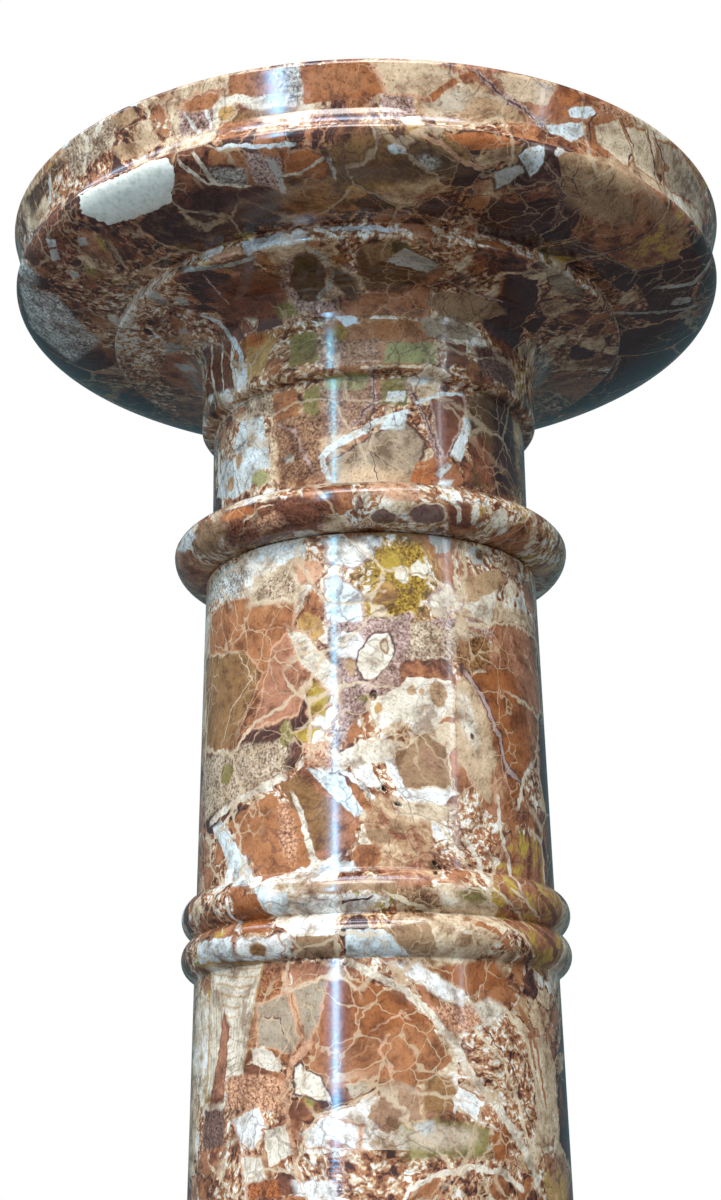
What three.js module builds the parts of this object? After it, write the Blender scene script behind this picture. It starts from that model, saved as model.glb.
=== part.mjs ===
// A turned marble pedestal column, in millimetres, +Z up, standing on its plinth with the floor at z = 0.
// Four stones lie on one another: a square plinth, a moulded base, a tapering shaft with a double ring,
// and a round cap cut in one with its neck and collar.
import * as THREE from "three";

// Facets around each turned stone, and straight steps in each quarter of a moulding
const facets = 64;
const rollSteps = 4;
const coveSteps = 3;
const edgeSteps = 2;

// Bed joint left open between two stones
const bedJoint = 0.3;

// Plinth, a square slab with its edges taken off
const plinthHeight = 52;
const plinthMargin = 15;
const plinthChamfer = 3;

// Base, from its underside up: a large roll, a fillet, a cove and a small bead, all wider than the shaft
const rollReach = 48.7;
const rollHeight = 36;
const filletSetBack = 20;
const filletHeight = 7;
const baseCoveHeight = 23;
const baseBeadReach = 12;
const baseBeadHeight = 16;
const baseSeatMargin = 4;

// Shaft, with its radius at each end and the place of its double ring
const shaftLength = 791.5;
const shaftFootRadius = 91.3;
const shaftHeadRadius = 76.2;
const shaftArris = 1.5;
const ringFromHead = 164;
const ringBeadHeight = 17.6;
const ringGrooveDepth = 5.3;
const ringReach = 6.1;

// Collar at the foot of the cap's neck
const collarReach = 14.7;
const collarLowerHeight = 12.3;
const collarUpperHeight = 9.3;
const collarSeatMargin = 2;

// Neck and the band above it
const neckSetBack = 2.7;
const neckHeight = 51.8;
const bandReach = 5.5;
const bandLipHeight = 2.8;
const bandHeight = 22.9;

// Underside of the cap: a cove, a flat that rises a little outwards, and a step
const capCoveRound = 14;
const soffitRise = 3;
const stepReach = 28.2;
const stepHeight = 8.3;

// Cap: a quarter round up to the crest, then a band that flares at its foot
const capRadius = 170;
const quarterRoundHeight = 18.9;
const crestSetBack = 1.9;
const flareHeight = 9.3;
const flareReach = 3.1;
const capBandHeight = 21;
const capArris = 3;

const stoneMaterial = (colour, roughness) =>
  new THREE.MeshStandardMaterial({ color: colour, roughness: roughness, metalness: 0 });

// Points of an elliptical arc about (centreRadius, centreHeight), from one angle to another in degrees,
// where 0 points away from the column's axis and 90 points up.
function arc(centreRadius, centreHeight, reach, rise, fromAngle, toAngle, steps) {
  const points = [];
  for (let step = 0; step <= steps; step += 1) {
    const angle = THREE.MathUtils.degToRad(fromAngle + ((toAngle - fromAngle) * step) / steps);
    points.push([centreRadius + reach * Math.cos(angle), centreHeight + rise * Math.sin(angle)]);
  }
  return points;
}

// A turned stone from its outline of [radius, height] pairs, bottom first, closed on the axis at both ends.
function turnedStone(name, outline, material) {
  const foot = outline[0][1];
  const head = outline[outline.length - 1][1];
  const closed = [[0, foot], ...outline, [0, head]];
  const profile = closed.map(([radius, height]) => new THREE.Vector2(radius, height));
  const geometry = new THREE.LatheGeometry(profile, facets);
  geometry.rotateX(Math.PI / 2);
  const mesh = new THREE.Mesh(geometry, material);
  mesh.name = name;
  return mesh;
}

const baseRadius = shaftFootRadius + rollReach;
const baseHeight = rollHeight + filletHeight + baseCoveHeight + baseBeadHeight;

// The plinth's side follows the base that stands on it.
function makePlinth() {
  const half = baseRadius + plinthMargin;
  const inner = half - plinthChamfer;
  const outline = new THREE.Shape();
  outline.moveTo(inner, -half);
  outline.lineTo(half, -inner);
  outline.lineTo(half, inner);
  outline.lineTo(inner, half);
  outline.lineTo(-inner, half);
  outline.lineTo(-half, inner);
  outline.lineTo(-half, -inner);
  outline.lineTo(-inner, -half);
  outline.closePath();
  const geometry = new THREE.ExtrudeGeometry(outline, {
    depth: plinthHeight - 2 * plinthChamfer,
    bevelEnabled: true,
    bevelSegments: 1,
    bevelSize: plinthChamfer,
    bevelThickness: plinthChamfer,
    bevelOffset: -plinthChamfer,
  });
  geometry.translate(0, 0, plinthChamfer);
  const mesh = new THREE.Mesh(geometry, stoneMaterial(0x96603f, 0.22));
  mesh.name = "plinth";
  return mesh;
}

function makeBase() {
  const filletRadius = baseRadius - filletSetBack;
  const beadRadius = shaftFootRadius + baseBeadReach;
  const seatRadius = shaftFootRadius + baseSeatMargin;
  const beadRound = beadRadius - seatRadius;
  const rollMiddle = rollHeight / 2;
  const coveFoot = rollHeight + filletHeight;
  const coveHead = coveFoot + baseCoveHeight;
  const beadMiddle = coveHead + baseBeadHeight / 2;
  const outline = [
    ...arc(baseRadius - rollMiddle, rollMiddle, rollMiddle, rollMiddle, -90, 90, 2 * rollSteps),
    [filletRadius, rollHeight],
    ...arc(filletRadius, coveHead, filletRadius - seatRadius, baseCoveHeight, 270, 180, coveSteps),
    ...arc(seatRadius, beadMiddle, beadRound, baseBeadHeight / 2, -90, 90, 2 * coveSteps).slice(1),
  ];
  return turnedStone("base", outline, stoneMaterial(0xa06a48, 0.2));
}

// The shaft's radius at a height above its foot, before its mouldings
function shaftRadiusAt(height) {
  return shaftFootRadius + ((shaftHeadRadius - shaftFootRadius) * height) / shaftLength;
}

// One bead of the ring, a round whose crest stands at the ring's radius, between the depths of its two ends
function ringBead(middle, round, ringRadius, lowerDepth, upperDepth) {
  const angleAt = (depth) => THREE.MathUtils.radToDeg(Math.acos(1 - depth / round));
  const fromAngle = -angleAt(lowerDepth);
  const toAngle = angleAt(upperDepth);
  return arc(ringRadius - round, middle, round, round, fromAngle, toAngle, 2 * coveSteps);
}

function makeShaft() {
  const ringMiddle = shaftLength - ringFromHead;
  const ringRadius = shaftRadiusAt(ringMiddle) + ringReach;
  const halfBead = ringBeadHeight / 2;
  const beadRound = (ringGrooveDepth ** 2 + halfBead ** 2) / (2 * ringGrooveDepth);
  const lowerDepth = ringRadius - shaftRadiusAt(ringMiddle - ringBeadHeight);
  const upperDepth = ringRadius - shaftRadiusAt(ringMiddle + ringBeadHeight);
  const footCentre = shaftFootRadius - shaftArris;
  const headCentre = shaftHeadRadius - shaftArris;
  const headHeight = shaftLength - shaftArris;
  const outline = [
    ...arc(footCentre, shaftArris, shaftArris, shaftArris, -90, 0, edgeSteps),
    ...ringBead(ringMiddle - halfBead, beadRound, ringRadius, lowerDepth, ringGrooveDepth),
    ...ringBead(ringMiddle + halfBead, beadRound, ringRadius, ringGrooveDepth, upperDepth).slice(1),
    ...arc(headCentre, headHeight, shaftArris, shaftArris, 0, 90, edgeSteps),
  ];
  return turnedStone("shaft", outline, stoneMaterial(0xb9805a, 0.16));
}

function makeCapital() {
  const collarRadius = shaftHeadRadius + collarReach;
  const seatRadius = shaftHeadRadius + collarSeatMargin;
  const neckRadius = shaftHeadRadius - neckSetBack;
  const bandRadius = neckRadius + bandReach;
  const coveRadius = bandRadius + capCoveRound;
  const stepRadius = coveRadius + stepReach;
  const crestRadius = capRadius - crestSetBack;
  const lowerReach = collarRadius - seatRadius;
  const upperReach = collarRadius - neckRadius;

  const collarMiddle = collarLowerHeight;
  const neckFoot = collarMiddle + collarUpperHeight;
  const lipMiddle = neckFoot + neckHeight + bandLipHeight;
  const bandHead = lipMiddle + bandHeight;
  const soffitInner = bandHead + capCoveRound;
  const stepFoot = soffitInner + soffitRise;
  const stepHead = stepFoot + stepHeight;
  const crest = stepHead + quarterRoundHeight;
  const flareHead = crest + flareHeight;
  const arrisMiddle = flareHead + capBandHeight - capArris;
  const outline = [
    ...arc(seatRadius, collarMiddle, lowerReach, collarLowerHeight, -90, 0, rollSteps),
    ...arc(neckRadius, collarMiddle, upperReach, collarUpperHeight, 0, 90, rollSteps).slice(1),
    ...arc(neckRadius, lipMiddle, bandReach, bandLipHeight, -90, 0, edgeSteps),
    ...arc(coveRadius, bandHead, capCoveRound, capCoveRound, 180, 90, coveSteps),
    [stepRadius, stepFoot],
    ...arc(stepRadius, crest, crestRadius - stepRadius, quarterRoundHeight, -90, 0, rollSteps + edgeSteps),
    ...arc(crestRadius, flareHead, flareReach, flareHeight, 270, 180, coveSteps).slice(1),
    ...arc(capRadius - capArris, arrisMiddle, capArris, capArris, 0, 90, edgeSteps),
  ];
  return turnedStone("capital", outline, stoneMaterial(0x8c5236, 0.18));
}

// The stones in their order from the floor up, each bedded on the one before it
const column = new THREE.Group();
const plinth = makePlinth();
const base = makeBase();
const shaft = makeShaft();
const capital = makeCapital();
base.position.z = plinthHeight + bedJoint;
shaft.position.z = base.position.z + baseHeight + bedJoint;
capital.position.z = shaft.position.z + shaftLength + bedJoint;
column.add(plinth, base, shaft, capital);

export default column;
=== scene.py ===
from math import acos, atan2, cos, degrees, hypot, pi, radians, sin

import bmesh
import bpy
import numpy as np
from mathutils import Matrix, Vector, noise
from mathutils.bvhtree import BVHTree


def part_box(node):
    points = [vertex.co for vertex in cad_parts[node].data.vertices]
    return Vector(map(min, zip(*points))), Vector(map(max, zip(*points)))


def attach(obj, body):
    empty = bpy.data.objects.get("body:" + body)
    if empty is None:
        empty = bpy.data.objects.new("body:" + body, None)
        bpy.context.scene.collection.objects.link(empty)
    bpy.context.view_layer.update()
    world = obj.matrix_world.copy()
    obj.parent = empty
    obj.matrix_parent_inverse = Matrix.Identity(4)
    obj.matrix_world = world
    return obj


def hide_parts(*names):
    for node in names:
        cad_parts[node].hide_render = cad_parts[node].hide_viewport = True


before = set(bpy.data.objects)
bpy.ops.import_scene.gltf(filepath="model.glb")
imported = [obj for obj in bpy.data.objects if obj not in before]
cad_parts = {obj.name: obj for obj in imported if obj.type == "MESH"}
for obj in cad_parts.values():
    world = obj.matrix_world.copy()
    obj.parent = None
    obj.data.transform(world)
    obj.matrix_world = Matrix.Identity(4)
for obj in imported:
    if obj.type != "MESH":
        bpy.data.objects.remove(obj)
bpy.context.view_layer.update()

scene = bpy.context.scene
scene.view_settings.view_transform = "Standard"
mm = 0.001

# Camera. The photo is read as a 721 x 1200 frame taken from low down, looking up.
photo = {"width": 721, "height": 1200, "focal": 2018.0, "pitch": 17.89, "roll": -0.76}
eye = Vector((-4.9 * mm, -890.8 * mm, 632.2 * mm))

cameraData = bpy.data.cameras.new("camera")
cameraData.sensor_fit = "VERTICAL"
cameraData.sensor_height = 36.0
cameraData.lens = photo["focal"] / photo["height"] * cameraData.sensor_height
camera = bpy.data.objects.new("camera", cameraData)
scene.collection.objects.link(camera)
lookUp = Matrix.Rotation(radians(90 + photo["pitch"]), 4, "X")
camera.matrix_world = Matrix.Translation(eye) @ lookUp @ Matrix.Rotation(radians(photo["roll"]), 4, "Z")
scene.camera = camera


# The direction from the eye through a pixel of the photo
def rayThrough(x, y):
    local = Vector((x - photo["width"] / 2, photo["height"] / 2 - y, -photo["focal"]))
    return (camera.matrix_world.to_3x3() @ local).normalized()


# Outlines are lists of (radius, height) in millimetres, from the underside up.
def arc(centreRadius, centreHeight, reach, rise, fromAngle, toAngle, steps):
    points = []
    for step in range(steps + 1):
        angle = radians(fromAngle + (toAngle - fromAngle) * step / steps)
        points.append((centreRadius + reach * cos(angle), centreHeight + rise * sin(angle)))
    return points


# Long straight runs get a point close to each end, which keeps flats flat under smooth shading.
def supported(outline, longest, margin=0.5):
    points = [outline[0]]
    for (r0, z0), (r1, z1) in zip(outline, outline[1:]):
        length = hypot(r1 - r0, z1 - z0)
        if length > 2.5 * margin:
            stretches = max(1, round((length - 2 * margin) / longest))
            for step in range(stretches + 1):
                share = (margin + (length - 2 * margin) * step / stretches) / length
                points.append((r0 + (r1 - r0) * share, z0 + (z1 - z0) * share))
        points.append((r1, z1))
    return points


# Points that lie closer than this are joined
joins = {"axis": 0.002 * mm, "mirror": 0.01 * mm, "sliver": 0.001 * mm}


# A quarter turn of the outline, mirrored twice, with this many faces around and none longer than longest
def turnOnLathe(outline, around, longest):
    closed = supported([(0.0, outline[0][1])] + outline + [(0.0, outline[-1][1])], longest)
    bm = bmesh.new()
    verts = [bm.verts.new((r * mm, 0.0, z * mm)) for r, z in closed]
    edges = [bm.edges.new(pair) for pair in zip(verts, verts[1:])]
    bmesh.ops.spin(bm, geom=verts + edges, cent=(0, 0, 0), axis=(0, 0, 1), angle=pi / 2, steps=around // 4)
    bmesh.ops.remove_doubles(bm, verts=bm.verts, dist=joins["axis"])
    for axis in ("X", "Y"):
        bmesh.ops.mirror(bm, geom=bm.verts[:] + bm.edges[:] + bm.faces[:], axis=axis, merge_dist=joins["mirror"])
    bmesh.ops.dissolve_degenerate(bm, dist=joins["sliver"], edges=bm.edges)
    bmesh.ops.recalc_face_normals(bm, faces=bm.faces)
    return bm


# Makes a piece of a mesh, smooth shaded, ties it to the part's root body and hides the node it replaces
def finishPiece(name, bm, node=None):
    for face in bm.faces:
        face.smooth = True
    mesh = bpy.data.meshes.new(name)
    bm.to_mesh(mesh)
    bm.free()
    piece = bpy.data.objects.new(name, mesh)
    scene.collection.objects.link(piece)
    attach(piece, "root")
    if node:
        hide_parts(node)
    print(name, "has", len(mesh.polygons), "faces")
    return piece


# Shaft: a tapering stone with a double ring
shaftSizes = {
    "foot": 134.6, "head": 926.1, "footRadius": 91.3, "headRadius": 76.2, "arris": 1.5,
    "ringFromHead": 164.0, "ringBeadHeight": 17.6, "ringGrooveDepth": 5.3, "ringReach": 6.1,
}


def shaftRadiusAt(height, s=shaftSizes):
    return s["footRadius"] + (s["headRadius"] - s["footRadius"]) * (height - s["foot"]) / (s["head"] - s["foot"])


def shaftOutline(s):
    ringMiddle = s["head"] - s["ringFromHead"]
    ringRadius = shaftRadiusAt(ringMiddle) + s["ringReach"]
    half = s["ringBeadHeight"] / 2
    depth = s["ringGrooveDepth"]
    beadRound = (depth ** 2 + half ** 2) / (2 * depth)

    def bead(middle, lowerDepth, upperDepth):
        lower, upper = (degrees(acos(1 - d / beadRound)) for d in (lowerDepth, upperDepth))
        return arc(ringRadius - beadRound, middle, beadRound, beadRound, -lower, upper, 14)

    lowerDepth = ringRadius - shaftRadiusAt(ringMiddle - 2 * half)
    upperDepth = ringRadius - shaftRadiusAt(ringMiddle + 2 * half)
    a = s["arris"]
    return (arc(s["footRadius"] - a, s["foot"] + a, a, a, -90, 0, 5)
            + bead(ringMiddle - half, lowerDepth, depth)
            + bead(ringMiddle + half, depth, upperDepth)[1:]
            + arc(s["headRadius"] - a, s["head"] - a, a, a, 0, 90, 5))


# Capital: collar, neck, band, cove, step, quarter round and flared band, all one stone
capSizes = {
    "foot": 926.4, "seatRadius": 78.2, "collarRadius": 90.9, "collarMiddle": 938.7, "neckFoot": 948.0,
    "neckRadius": 73.5, "lipFoot": 999.8, "lipMiddle": 1002.6, "bandRadius": 79.0, "bandHead": 1025.5,
    "coveRound": 14.0, "stepRadius": 121.2, "stepFoot": 1042.5, "stepHead": 1050.8, "crest": 1069.7,
    "crestRadius": 168.1, "flareReach": 3.1, "flareHead": 1079.0, "radius": 170.0, "head": 1100.0,
    "arris": 3.0, "smallArris": 0.8, "stepArris": 1.6, "stepLean": 1.8,
}


def capOutline(s):
    small, edge, lean = s["smallArris"], s["stepArris"], s["stepLean"]
    coveMiddle = s["bandRadius"] + s["coveRound"]
    return (
        arc(s["seatRadius"], s["collarMiddle"], s["collarRadius"] - s["seatRadius"],
            s["collarMiddle"] - s["foot"], -90, 0, 12)
        + arc(s["neckRadius"], s["collarMiddle"], s["collarRadius"] - s["neckRadius"],
              s["neckFoot"] - s["collarMiddle"], 0, 90, 12)[1:]
        + arc(s["neckRadius"], s["lipMiddle"], s["bandRadius"] - s["neckRadius"],
              s["lipMiddle"] - s["lipFoot"], -90, 0, 8)
        + arc(coveMiddle, s["bandHead"], s["coveRound"], s["coveRound"], 180, 90, 12)
        + arc(s["stepRadius"] - edge, s["stepFoot"] + edge, edge, edge, -90, 0, 6)
        + arc(s["stepRadius"] + small - lean, s["stepHead"] - small, small, small, 180, 90, 3)
        + arc(s["stepRadius"] + small, s["crest"] - small, s["crestRadius"] - s["stepRadius"] - small,
              s["crest"] - s["stepHead"] - small, -90, 0, 26)[1:]
        + arc(s["crestRadius"] - small, s["crest"] - small, small, small, 0, 70, 3)[1:]
        + arc(s["crestRadius"], s["flareHead"], s["flareReach"], s["flareHead"] - s["crest"], 262, 180, 10)[1:]
        + arc(s["radius"] - s["arris"], s["head"] - s["arris"], s["arris"], s["arris"], 0, 90, 7)
    )


# Base and plinth lie below the photo's edge
baseSizes = {
    "foot": 52.3, "radius": 140.0, "rollHeight": 36.0, "filletRadius": 120.0, "filletHeight": 7.0,
    "coveHeight": 23.0, "seatRadius": 95.3, "beadRadius": 103.3, "beadHeight": 16.0, "smallArris": 0.8,
}


def baseOutline(s):
    small = s["smallArris"]
    rollRound = s["rollHeight"] / 2
    filletFoot = s["foot"] + s["rollHeight"]
    coveFoot = filletFoot + s["filletHeight"]
    coveHead = coveFoot + s["coveHeight"]
    beadRound = s["beadHeight"] / 2
    return (
        arc(s["radius"] - rollRound, s["foot"] + rollRound, rollRound, rollRound, -90, 90, 28)
        + arc(s["filletRadius"] - small, coveFoot - small, small, small, 0, 90, 3)
        + arc(s["filletRadius"] - small, coveHead, s["filletRadius"] - small - s["seatRadius"],
              s["coveHeight"], 270, 180, 14)[1:]
        + arc(s["seatRadius"], coveHead + beadRound, s["beadRadius"] - s["seatRadius"], beadRound,
              -90, 90, 18)[1:]
    )


def plinthSlab(low, high, chamfer):
    bm = bmesh.new()
    bmesh.ops.create_cube(bm, size=1.0)
    size = [high[i] - low[i] for i in range(3)]
    bmesh.ops.scale(bm, vec=size, verts=bm.verts)
    bmesh.ops.translate(bm, vec=[(high[i] + low[i]) / 2 for i in range(3)], verts=bm.verts)
    bmesh.ops.bevel(bm, geom=bm.edges[:], offset=chamfer * mm, offset_type="OFFSET", segments=4,
                    affect="EDGES", profile=0.5, material=-1, clamp_overlap=True)
    bmesh.ops.recalc_face_normals(bm, faces=bm.faces)
    return bm


shaftMesh = turnOnLathe(shaftOutline(shaftSizes), around=240, longest=3.6)
capMesh = turnOnLathe(capOutline(capSizes), around=264, longest=3.6)
baseMesh = turnOnLathe(baseOutline(baseSizes), around=240, longest=5.0)
plinthMesh = plinthSlab(*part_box("plinth"), chamfer=2.5)

shaft = finishPiece("shaft_stone", shaftMesh, "shaft")
capital = finishPiece("capital_stone", capMesh, "capital")
base = finishPiece("base_stone", baseMesh, "base")
plinth = finishPiece("plinth_stone", plinthMesh, "plinth")
print("stones turned")

trees = {}
right, up, backward = camera.matrix_world.to_3x3().transposed()
inwardSteps = 16  # pixels that a place just off a stone's edge may be moved in by
flattest = 0.12  # sine of the lowest angle that a stone is seen at, which limits how far an ellipse is drawn out
leastDepth = 8 * mm  # how far an ellipse or vein goes into the stone at least


# Where a pixel of the photo meets a stone: the point, its normal, and the width of a pixel there
def spotSeen(piece, x, y):
    if piece.name not in trees:
        bm = bmesh.new()
        bm.from_mesh(piece.data)
        trees[piece.name] = BVHTree.FromBMesh(bm)
        bm.free()
    for step in range(inwardSteps):
        inward = step if x < photo["width"] / 2 else -step
        point, normal, _, _ = trees[piece.name].ray_cast(eye, rayThrough(x + inward, y + step / 2))
        if point is not None:
            break
    else:
        raise ValueError(f"nothing of {piece.name} is seen at {x}, {y}")
    return point, normal, (eye - point).dot(backward) / photo["focal"]


# An ellipse that shows at x, y with its half sizes in pixels: its place, turn and half sizes on the stone
def ellipseSeen(piece, one):
    x, y, wide, tall, turn = (one.get(key, 0) for key in ("x", "y", "wide", "tall", "turn"))
    point, normal, pixel = spotSeen(piece, x, y)
    ray = rayThrough(x, y)
    sides = []
    for size, angle in ((wide, radians(turn)), (tall, radians(turn + 90))):
        flat = (right * cos(angle) + up * sin(angle)) * size * pixel
        sides.append(flat - ray * (flat.dot(normal) / min(-flattest, ray.dot(normal))))
    first = sides[0].normalized()
    second = normal.cross(first).normalized()
    turned = Matrix((first, second, normal)).transposed().to_euler()
    depth = max(sides[0].length, sides[1].length, leastDepth)
    return point, turned, (sides[0].length, abs(sides[1].dot(second)), depth)


# Short ways to build node trees: each gives back the socket that the next node reads
def put(tree, kind, **settings):
    node = tree.nodes.new(kind)
    for name, value in settings.items():
        setattr(node, name, value)
    return node


def feed(tree, socket, value):
    if isinstance(value, bpy.types.NodeSocket):
        tree.links.new(value, socket)
    elif value is not None:
        socket.default_value = value


def feedAll(tree, node, **values):
    for name, value in values.items():
        feed(tree, node.inputs[name.replace("_", " ")], value)
    return node.outputs


# Feeds values to a node's sockets in order, or to those at the places that are given
def fill(tree, node, values, places=None):
    for place, value in zip(places or range(len(values)), values):
        feed(tree, node.inputs[place], value)
    return node.outputs


def maths(tree, operation, *values, clamp=False):
    return fill(tree, put(tree, "ShaderNodeMath", operation=operation, use_clamp=clamp), values)[0]


def vectors(tree, operation, *values, scale=None):
    node = put(tree, "ShaderNodeVectorMath", operation=operation)
    if scale is not None:
        feed(tree, node.inputs["Scale"], scale)
    return fill(tree, node, values)["Value" if operation in ("LENGTH", "DOT_PRODUCT") else "Vector"]


def smooth(tree, value, low, high, toLow=0.0, toHigh=1.0):
    node = put(tree, "ShaderNodeMapRange", interpolation_type="SMOOTHSTEP")
    return fill(tree, node, (value, low, high, toLow, toHigh))[0]


def blend(tree, factor, first, second, way="MIX"):
    node = put(tree, "ShaderNodeMix", data_type="RGBA", blend_type=way)
    return fill(tree, node, (factor, first, second), (0, 6, 7))[2]


def between(tree, factor, first, second):
    return fill(tree, put(tree, "ShaderNodeMix", data_type="FLOAT"), (factor, first, second), (0, 2, 3))[0]


def clouds(tree, vector, scale, detail=2.0, roughness=0.5):
    node = put(tree, "ShaderNodeTexNoise", noise_dimensions="3D")
    return feedAll(tree, node, Vector=vector, Scale=scale, Detail=detail, Roughness=roughness)


def cells(tree, vector, scale, feature="F1"):
    node = put(tree, "ShaderNodeTexVoronoi", voronoi_dimensions="3D", feature=feature)
    return feedAll(tree, node, Vector=vector, Scale=scale)


def ramp(tree, value, *stops):
    node = put(tree, "ShaderNodeValToRGB")
    feed(tree, node.inputs[0], value)
    elements = node.color_ramp.elements
    while len(elements) < len(stops):
        elements.new(1.0)
    for element, (place, colour) in zip(elements, stops):
        element.position = place
        element.color = (*colour[:3], 1.0)
    return node.outputs[0]


def parts(tree, colour):
    return fill(tree, put(tree, "ShaderNodeSeparateColor"), [colour])


# A grey or a colour with its fourth value
def opaque(red, green=None, blue=None):
    return (red, red, red, 1.0) if green is None else (red, green, blue, 1.0)


# A new material with its node tree and the inputs of its shader
def newMaterial(name):
    material = bpy.data.materials.new(name)
    material.use_nodes = True
    tree = material.node_tree
    return material, tree, next(n for n in tree.nodes if n.type == "BSDF_PRINCIPLED").inputs


def nodeGroup(name, inputs, outputs):
    tree = bpy.data.node_groups.new(name, "ShaderNodeTree")
    for label, kind, value in inputs:
        socket = tree.interface.new_socket(name=label, in_out="INPUT", socket_type="NodeSocket" + kind)
        if value is not None:
            socket.default_value = value
    for label, kind in outputs:
        tree.interface.new_socket(name=label, in_out="OUTPUT", socket_type="NodeSocket" + kind)
    return tree, put(tree, "NodeGroupInput").outputs, put(tree, "NodeGroupOutput").inputs


def use(tree, group, **values):
    return feedAll(tree, put(tree, "ShaderNodeGroup", node_tree=group), **values)


# Colours of the stone and the repair, as linear albedo
tints = {
    "ice": (0.66, 0.71, 0.68), "white": (0.78, 0.75, 0.67), "ivory": (0.72, 0.63, 0.48), "cream": (0.70, 0.55, 0.36),
    "dove": (0.46, 0.44, 0.38), "sand": (0.60, 0.42, 0.25), "peach": (0.60, 0.32, 0.18), "oat": (0.52, 0.41, 0.28),
    "fawn": (0.47, 0.29, 0.15), "stone": (0.38, 0.29, 0.19), "clay": (0.34, 0.20, 0.10), "taupe": (0.36, 0.20, 0.11),
    "honey": (0.47, 0.26, 0.08), "mustard": (0.42, 0.27, 0.035), "olive": (0.24, 0.19, 0.055),
    "sage": (0.31, 0.29, 0.12), "brass": (0.28, 0.135, 0.045), "rose": (0.40, 0.165, 0.085),
    "rust": (0.38, 0.145, 0.052), "flame": (0.42, 0.13, 0.035), "amber": (0.33, 0.105, 0.028),
    "russet": (0.20, 0.065, 0.03), "umber": (0.12, 0.06, 0.025), "maroon": (0.065, 0.022, 0.017),
    "plum": (0.20, 0.11, 0.085), "mauve": (0.46, 0.32, 0.27), "vein": (0.10, 0.04, 0.035),
    "putty": (0.40, 0.44, 0.38),
}
tints = {name: opaque(*tint) for name, tint in tints.items()}
# How fine each pattern is, as scales of its texture over metres
fineness = {"bend": 26.0, "fray": 240.0, "ground": 340.0, "small stones": 82.0, "large stones": 27.0, "mottle": 100.0,
            "veining": 21.0, "grain": 820.0, "tooling": 1500.0, "putty": 420.0}


# Bends and frays the places that patterns are read at: Broken for the ground, Crisp for placed clasts
def makeWarp():
    tree, given, result = nodeGroup(
        "stoneWarp", [("Vector", "Vector", None), ("Start", "Vector", None), ("Ragged", "Float", 0.002)],
        [("Broken", "Vector"), ("Crisp", "Vector")])
    pushes = [vectors(tree, "SUBTRACT", clouds(tree, given["Vector"], scale, detail)[1], (0.5, 0.5, 0.5))
              for scale, detail in ((fineness["bend"], 0.0), (fineness["fray"], 1.5))]
    for name, start, bend, ragged in (("Broken", given["Start"], 22 * mm, 4 * mm),
                                      ("Crisp", None, 5 * mm, given["Ragged"])):
        place = vectors(tree, "ADD", given["Vector"], start) if start else given["Vector"]
        for push, amount in zip(pushes, (bend, ragged)):
            place = vectors(tree, "ADD", place, vectors(tree, "SCALE", push, scale=amount))
        feed(tree, result[name], place)
    return tree


warpGroup = makeWarp()


# How dark and pale the ground's noise is cut, how strong the mottling is, and how rare and sharp the ochre stones are
breccia = {"dark": 0.33, "pale": 0.70, "mottling": 0.8, "ochreFrom": 0.88, "ochreEdge": 0.06}
reds = {"maroon": 0.0, "russet": 0.14, "rust": 0.3, "rose": 0.46, "fawn": 0.56, "sand": 0.66, "cream": 0.8,
        "white": 0.95}
yellows = {"umber": 0.0, "olive": 0.3, "mustard": 0.5, "honey": 0.65, "cream": 0.8, "white": 1.0}


# Broken stone of two sizes in a fine ground, coloured from dark brown through rust and tan to white
def makeBreccia(b=breccia):
    tree, given, result = nodeGroup(
        "breccia", [("Broken", "Vector", None)] + [(name, "Float", 0.0) for name in ("Lightness", "Ochre", "Rubble")],
        [("Colour", "Color")] + [(name, "Float") for name in ("Fine edges", "Broad edges", "Mottle")])
    place = given["Broken"]
    tone = smooth(tree, clouds(tree, place, fineness["ground"], 2.0, 0.72)[0], b["dark"], b["pale"])
    for name, scale, gap, least in (("Fine edges", fineness["small stones"], 0.13, 0.35),
                                    ("Broad edges", fineness["large stones"], 0.07, 0.5)):
        nearest = cells(tree, place, scale)
        picks = parts(tree, nearest["Color"])
        edge = maths(tree, "SUBTRACT", cells(tree, place, scale, "F2")["Distance"], nearest["Distance"])
        feed(tree, result[name], edge)
        chosen = maths(tree, "GREATER_THAN", picks[1], maths(tree, "ADD", given["Rubble"], least))
        tone = between(tree, maths(tree, "MULTIPLY", smooth(tree, edge, gap * 0.4, gap), chosen), tone, picks[0])
        hue = picks[2]
    mottle = clouds(tree, place, fineness["mottle"], 4.0, 0.74)[0]
    feed(tree, result["Mottle"], mottle)
    mottle = maths(tree, "MULTIPLY_ADD", mottle, b["mottling"], -b["mottling"] / 2)
    tone = maths(tree, "ADD", maths(tree, "ADD", tone, mottle), given["Lightness"], clamp=True)
    colours = [ramp(tree, tone, *((stop, tints[name]) for name, stop in row.items())) for row in (reds, yellows)]
    chosen = maths(tree, "GREATER_THAN", hue, b["ochreFrom"])
    ochre = maths(tree, "MULTIPLY", chosen, smooth(tree, mottle, 0.0, b["ochreEdge"]))
    feed(tree, result["Colour"], blend(tree, maths(tree, "ADD", ochre, given["Ochre"], clamp=True), *colours))
    return tree


brecciaGroup = makeBreccia()


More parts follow.
